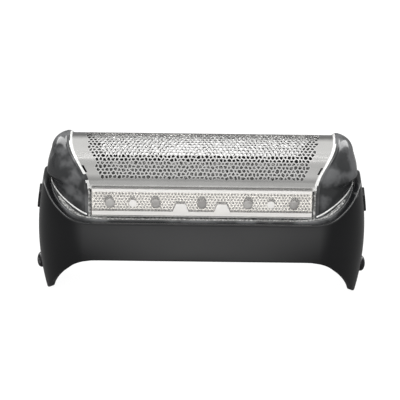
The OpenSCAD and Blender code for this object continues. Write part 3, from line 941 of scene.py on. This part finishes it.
def flange_top(x, y):
    return rim_height(x, y, BAND_TOP + FLANGE_RISE, RIM_TOP - FLANGE_DROP)


def side_x(z):
    """Half the length of the cassette at a height, seen from the front."""
    centre_z = AXIS_Z + CAP_R - CROWN_CURL
    if z >= centre_z:
        return CAP_HALF - LEAN
    if z >= BELT_Z:
        return CAP_HALF - LEAN * (z - BELT_Z) / (centre_z - BELT_Z)
    low_z = RIM_TOP + SEAT_GAP
    share = max(0.0, (z - low_z) / (BELT_Z - low_z))
    return TUCK_X + (CAP_HALF - TUCK_X) * math.sin(share * math.pi / 2)


def opening_x(z):
    """Half the length of the opening between the domes at a height."""
    if z >= AXIS_Z:
        share = min(1.0, (z - AXIS_Z) / CAP_R) ** 1.2
        return 21.15 + 3.5 * (3 * share ** 2 - 2 * share ** 3)
    return 21.0 + 0.15 * max(0.0, (z - 21.4) / (AXIS_Z - 21.4))


flank_away = math.hypot(CAP_DEPTH, AXIS_Z - FOOT_Z)
flank_turn = math.atan2(FOOT_Z - AXIS_Z, CAP_DEPTH) + math.acos(CAP_R / flank_away)
touch = Vector((CAP_R * math.cos(flank_turn), AXIS_Z + CAP_R * math.sin(flank_turn)))
arch_run = CAP_R * (math.pi / 2 - flank_turn)
flank = Vector((CAP_DEPTH, FOOT_Z)) - touch


def arch_point(run):
    """Place in y and z, and outward direction, at a length from the crown."""
    if run < arch_run:
        turn = run / CAP_R
        out = Vector((math.sin(turn), math.cos(turn)))
        return Vector((0, AXIS_Z)) + CAP_R * out, out
    out = Vector((math.cos(flank_turn), math.sin(flank_turn)))
    return touch + flank.normalized() * (run - arch_run), out


print("dome meets its flank at", round(touch.y, 2))

# %% [markdown]
# A dome is a grid that is wrapped on that outline. Its columns run down from
# the crown to the foot on each side, and its rings run from the inside, round
# the rim of the opening and along the outside to the end of the head. The
# curl at the end is tight at the crown and long at the foot, like a spoon.

# %% Rows and rings of a dome
TOP_ROWS, CURL_STEPS = 34, 20
FOOT_HEIGHTS = [0.36, 0.26, 0.17, 0.06, -0.05, -0.7]
rows = [("share", k / TOP_ROWS) for k in range(TOP_ROWS + 1)]
rows += [("above", height) for height in FOOT_HEIGHTS]


def over_dome(row, run_side, reach_of, lift):
    """Place on the +X dome, in a row, at a reach along the curl, lifted off the outer face."""
    kind, amount = row
    flange_z, lean = FOOT_Z, 0.0
    for _ in range(8):
        above = 0.5 if kind == "share" else amount
        run = arch_run + (touch.y - flange_z - lean - above) * flank.length / -flank.y
        if kind == "share":
            run *= amount
        elif lift >= 0:
            lift = 0.22 * max(0.0, 1 - max(0.0, amount) / 0.36) ** 2
        spot, out = arch_point(max(0.0, run))
        down = min(1.0, run / (arch_run + flank.length))
        ease = 3 * down ** 2 - 2 * down ** 3
        deep = CROWN_CURL + (FOOT_CURL_IN - CROWN_CURL) * ease
        long = CROWN_CURL + (FOOT_CURL_LONG - CROWN_CURL) * ease
        bend_x = side_x(spot.y) - long
        reach = reach_of(opening_x(spot.y) - bend_x, long)
        turn = max(0.0, reach / long)
        y, z = spot - out * (deep * (1 - math.cos(turn)) - lift * math.cos(turn))
        x = bend_x + min(0.0, reach) + (long + lift) * math.sin(turn)
        x += side_x(z) - side_x(spot.y)
        lean = spot.y - z
        flange_z = flange_top(x, y)
    return x, y * run_side, z


def along(distance):
    """Reach of a line that runs at a distance from the opening's edge."""
    def reach_of(edge, long):
        place = edge + distance
        return place if place < 0 else long * math.asin(min(1.0, place / long))
    return reach_of


def shared(share):
    """Reach of a line at a share of the way from the rim's bead to the end of the curl."""
    def reach_of(edge, long):
        start = along(1.15)(edge, long)
        return start + (long * math.pi / 2 - start) * share
    return reach_of


steps = [k / CURL_STEPS for k in range(1, CURL_STEPS + 1)]
rings = [("face", shared(share), -CAP_WALL) for share in reversed(steps)]
rings += [
    ("face", along(0.85), -CAP_WALL), ("face", along(0.85), -0.42), ("rim", along(0.0), -0.42),
    ("rim", along(0.2), -0.2), ("lip", along(0.38), -0.06), ("face", along(0.6), 0.0),
    ("face", along(0.9), 0.0), ("face", along(0.96), 0.04), ("face", along(1.04), 0.04),
    ("face", along(1.1), 0.0),
]
rings += [("face", shared(share), 0.0) for share in steps]
print("dome rows", len(rows), "rings", len(rings))

# %% [markdown]
# The grid's corners are moved to their rows and rings, and each face takes its finish from them: the rim, part
# of the lip and a line along the foot are painted pale as a highlight, where they catch the light, the rim's
# lower part takes the paler thin smoke, and a short stretch of the rim at the left end stays dark.

# %% Wrap both domes
ROW_COUNT, RING_COUNT = len(rows) - 1, len(rings) - 1
KINK_ROW = 0.6
cassette = bmesh.new()
for side in (1, -1):
    dome = bmesh.new()
    bmesh.ops.create_grid(dome, x_segments=2 * ROW_COUNT, y_segments=RING_COUNT, size=0.5)
    for face in dome.faces:
        middle = face.calc_center_median()
        ring = int((middle.y + 0.5) * RING_COUNT)
        height = rows[int(abs(middle.x) * 2 * ROW_COUNT) + 1]
        on_foot = height[0] == "above" and 0 < height[1] < 0.2 and rings[ring][2] >= 0
        on_lip = rings[ring][0] == "lip" and height[0] == "share" and 0.22 < height[1] < 0.7
        # Painted highlight: rim, lip and foot faces take the palest finish.
        if rings[ring][0] == "rim" or on_lip or on_foot:
            low_part = height[0] == "above" or height[1] > 0.74
            kink = side < 0 and height[0] == "share" and KINK_ROW < height[1] < KINK_ROW + 0.06
            face.material_index = 0 if kink else 2 if low_part and not on_foot else 1
    for vert in dome.verts:
        row = rows[round(abs(vert.co.x) * 2 * ROW_COUNT)]
        ring = round((vert.co.y + 0.5) * RING_COUNT)
        kind, reach_of, lift = rings[ring]
        if row == rows[-1]:
            lift = max(lift, 0.0)
        x, y, z = over_dome(row, math.copysign(1.0, vert.co.x), reach_of, lift)
        vert.co = (x, 0.0 if ring in (0, RING_COUNT) else y, z)
    if side < 0:
        bmesh.ops.rotate(dome, verts=dome.verts, cent=(0, 0, 0), matrix=Matrix.Rotation(math.pi, 3, "Z"))
    face_outwards(dome)
    join_into(cassette, dome, material=None)
print("dome faces", len(cassette.faces))

# %% [markdown]
# The flange is the same kind of loop as the frame, a little smaller, so that
# it follows the frame's rim all the way round. It has a dark bead outside and
# a paler floor inside, on which the domes and the bars stand.

# %% Flange
def add_flange(inset, width, drop, thick, edge, material):
    """A loop inside the frame's rim: its inset, width, depth below the seat and thickness."""
    loop = bmesh.new()
    raise_rows(loop, plan_loop(loop, CORNER_R - WALL - inset), 2)
    for vert in loop.verts:
        x, y, share = vert.co.x, vert.co.y, vert.co.z / 2
        z = flange_top(x, y) - drop - thick * (1 - share)
        out = plan_normal(x, y) * -sag(z)
        vert.co = (x + out.x, y + out.y, z)
    face_outwards(loop)
    bmesh.ops.solidify(loop, geom=loop.faces[:], thickness=width)
    bmesh.ops.recalc_face_normals(loop, faces=loop.faces)
    bevel_sharp(loop, edge)
    for face in loop.faces:
        face.material_index = material if face.calc_center_median().z < 19.6 else 0
    join_into(cassette, loop, material=None)


add_flange(SEAT_GAP, 0.6, 0.0, FLANGE_T, 0.22, 0)
add_flange(SEAT_GAP + 0.55, 1.7, 0.06, 1.0, 0.06, 2)
print("with the flange", len(cassette.faces))

# %% [markdown]
# Behind each skirt the moulding has a wall, and snap legs hang from it into the frame. The front wall is painted
# dark as the shade behind the front skirt's holes, while the rear wall takes the paler thin smoke. The stakes
# start as pegs. Heat spreads their ends into flat heads, which hold bar and foil together.

# %% Walls, legs and stakes
LEG_FACE = HALF_DEPTH - WALL - 1.1 - SEAT_GAP
stake_profile = [
    (0.58, -1.2), (0.58, -0.02), (0.84, 0.0), (0.9, 0.05), (0.9, 0.14),
    (0.84, 0.24), (0.66, 0.31), (0.36, 0.345), (0.0, 0.35),
]
for side in (-1, 1):
    def both(y):
        return (min(side * y[0], side * y[1]), max(side * y[0], side * y[1]))
    wall_y = both((FOIL_R - 0.15, FOIL_R - 1.15))
    # Painted shade: the front wall gets the dark dome smoke, so the front skirt's holes look shaded.
    add_block(
        cassette, (-22.0, wall_y[0], FOOT_Z), (22.0, wall_y[1], AXIS_Z - 0.8), material=2 if side > 0 else 0
    )
    for end in (-1, 1):
        leg_y, barb_y = both((LEG_FACE, LEG_FACE - 0.9)), both((LEG_FACE + 0.55, LEG_FACE - 0.45))
        centre = end * 38.0 / 3
        add_block(cassette, (centre - 2, leg_y[0], FOOT_Z - 2), (centre + 2, leg_y[1], FOOT_Z + 0.7))
        add_block(cassette, (centre - 2, barb_y[0], FOOT_Z - 2), (centre + 2, barb_y[1], FOOT_Z - 1.2))
    for k in range(-2, 3):
        add_turned(
            cassette, stake_profile, (k * STAKE_PITCH, side * (FOIL_R + BAR_T), STAKE_Z),
            Matrix.Rotation(-side * math.pi / 2, 4, "X"), steps=28, material=3,
        )
make_piece(
    cassette, "cassette_moulding", [smoke_dome, painted_highlight_edge, smoke_thin, smoke_peg],
    "foil_cassette",
)
